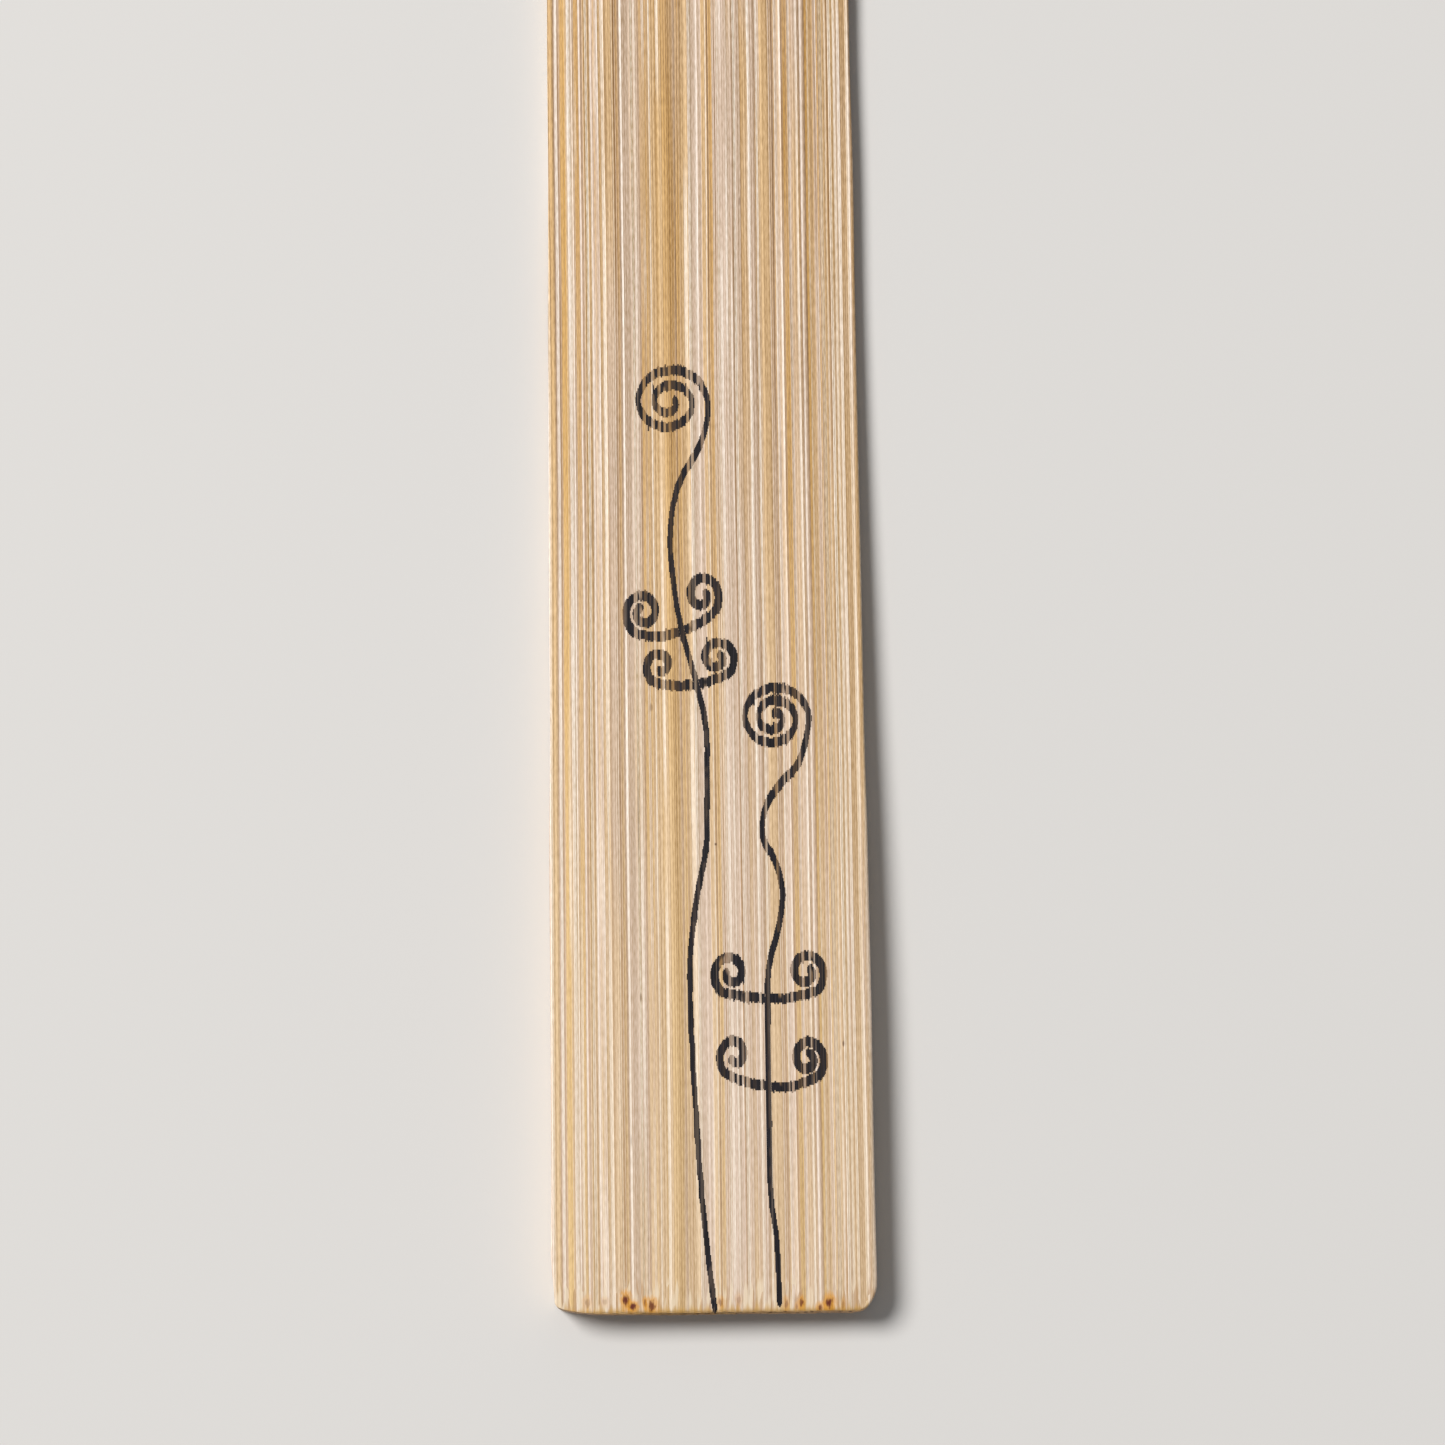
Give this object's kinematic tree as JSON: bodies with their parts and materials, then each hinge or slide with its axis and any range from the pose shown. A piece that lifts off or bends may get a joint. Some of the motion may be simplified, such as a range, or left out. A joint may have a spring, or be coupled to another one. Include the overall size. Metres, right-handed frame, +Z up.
{
  "type": "bone folder",
  "caption": "Flat bamboo folding and creasing strip with a squared handle end, a rounded point and a pen drawing of curled ferns on its upper face.",
  "frame": {"origin": "middle of the flat underside", "axes": "+Y along the strip from the handle end towards the point, +X across it to the right with the drawing facing up, +Z up through the thickness"},
  "size_m": [0.025, 0.18, 0.0033],
  "materials": {
    "bamboo": "bare sanded bamboo with straight tan, cream and honey fibres, satin",
    "ink": "blue-black pen ink dried into the fibres, matte"
  },
  "bodies": {
    "root": {"bamboo_strip": "bamboo", "tall_fern_frond": "ink", "tall_fern_upper_scroll": "ink", "tall_fern_lower_scroll": "ink", "short_fern_frond": "ink", "short_fern_upper_scroll": "ink", "short_fern_lower_scroll": "ink"}
  },
  "joints": []
}
